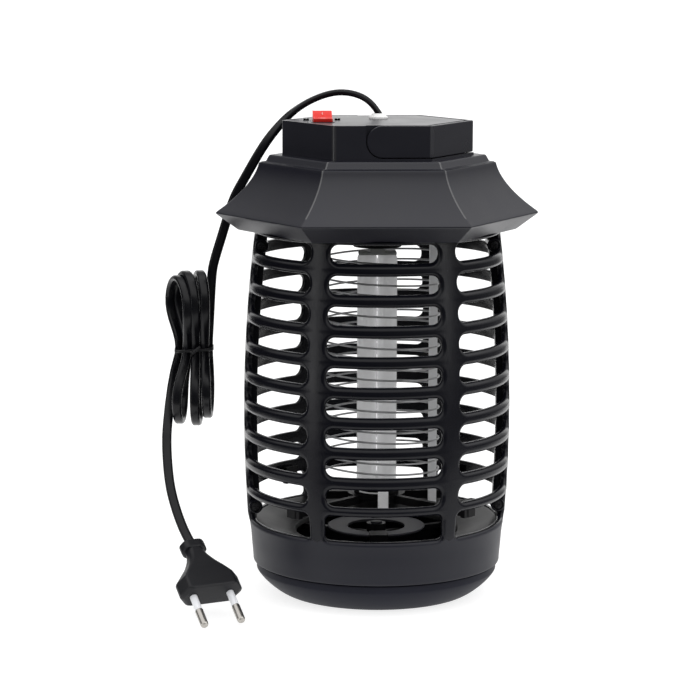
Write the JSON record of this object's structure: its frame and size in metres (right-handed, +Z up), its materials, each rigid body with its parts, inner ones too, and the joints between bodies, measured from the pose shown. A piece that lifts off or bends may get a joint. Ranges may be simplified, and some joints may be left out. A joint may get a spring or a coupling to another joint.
{
  "type": "electric bug zapper",
  "caption": "Free-standing electric insect killer: slotted barrel guard, six-sided roof, UV lamp in a wire grid, twist-off tray, folding bail, rocker switch and corded plug.",
  "frame": {"origin": "centre of the footprint, on the surface that the feet stand on", "axes": "+Z up, front panel faces -Y, the folded handle lies round the +X side"},
  "size_m": [0.1872, 0.1489, 0.251],
  "materials": {
    "tray_plastic": "moulded, satin gloss",
    "foot_rubber": "matte",
    "inner_plastic": "moulded, satin",
    "cage_plastic": "moulded, satin gloss",
    "dark_screw": "black oxide",
    "dish_grey": "satin",
    "socket_black": "satin",
    "tab_metal": "satin",
    "lead_white": "satin",
    "strip_white": "satin",
    "grid_wire": "drawn wire",
    "lamp_glass": "frosted glass over phosphor",
    "lamp_base_grey": "satin",
    "roof_plastic": "moulded, satin",
    "zinc_screw": "zinc plated",
    "box_plastic": "moulded, satin",
    "handle_plastic": "moulded, satin",
    "pivot_steel": "turned",
    "rocker_red": "glossy",
    "terminal_brass": "stamped",
    "board_green": "solder mask",
    "capacitor_film": "dipped",
    "diode_black": "moulded",
    "resistor_tan": "lacquered",
    "choke_grey": "laminated",
    "terminal_cream": "moulded",
    "gland_white": "satin nylon",
    "cord_pvc": "satin PVC",
    "tie_black": "satin",
    "plug_plastic": "moulded PVC",
    "sleeve_white": "satin",
    "pin_nickel": "nickel plated"
  },
  "bodies": {
    "main": {"tray_lock_ring": "inner_plastic", "cage_front": "cage_plastic", "cage_rear": "cage_plastic", "cage_screws": "dark_screw", "catch_funnel": "inner_plastic", "lower_spider": "inner_plastic", "deflector_dish": "dish_grey", "grid_bottom_plate": "inner_plastic", "lamp_holder": "socket_black", "contact_tab": "tab_metal", "contact_wire": "lead_white", "grid_strips": "strip_white", "grid_wire_live": "grid_wire", "grid_wire_return": "grid_wire", "grid_top_plate": "inner_plastic", "lamp_tube": "lamp_glass", "lamp_base": "lamp_base_grey", "lamp_socket": "socket_black", "roof": "roof_plastic", "roof_screws": "zinc_screw", "housing_base": "roof_plastic", "top_housing": "box_plastic", "housing_bolts": "zinc_screw", "handle_pivots": "pivot_steel", "switch_body": "socket_black", "rocker_pin": "pivot_steel", "switch_terminals": "terminal_brass", "switch_screws": "dark_screw", "circuit_board": "board_green", "capacitors": "capacitor_film", "diodes": "diode_black", "bleed_resistor": "resistor_tan", "lamp_choke": "choke_grey", "terminal_block": "terminal_cream", "cord_gland": "gland_white", "cord": "cord_pvc", "cord_hank": "cord_pvc", "cord_tie": "tie_black", "plug_body": "plug_plastic", "plug_sleeves": "sleeve_white", "plug_pins": "pin_nickel"},
    "handle": {"carry_handle": "handle_plastic"},
    "rocker": {"switch_rocker": "rocker_red"},
    "tray": {"collection_tray": "tray_plastic", "rubber_feet": "foot_rubber"}
  },
  "joints": [
    {"name": "handle_swing", "type": "hinge", "parent": "main", "child": "handle", "pos_m": [0, 0, 0.2287], "axis": [0, -1, 0], "range_deg": [0, 90]},
    {"name": "rocker_tilt", "type": "hinge", "parent": "main", "child": "rocker", "pos_m": [-0.0276, -0.008, 0.2354], "axis": [-1, 0, 0], "range_deg": [0, 30]},
    {"name": "tray_twist", "type": "hinge", "parent": "main", "child": "tray", "pos_m": [0, 0, 0.0162], "axis": [0, 0, 1], "range_deg": [0, 25]}
  ]
}
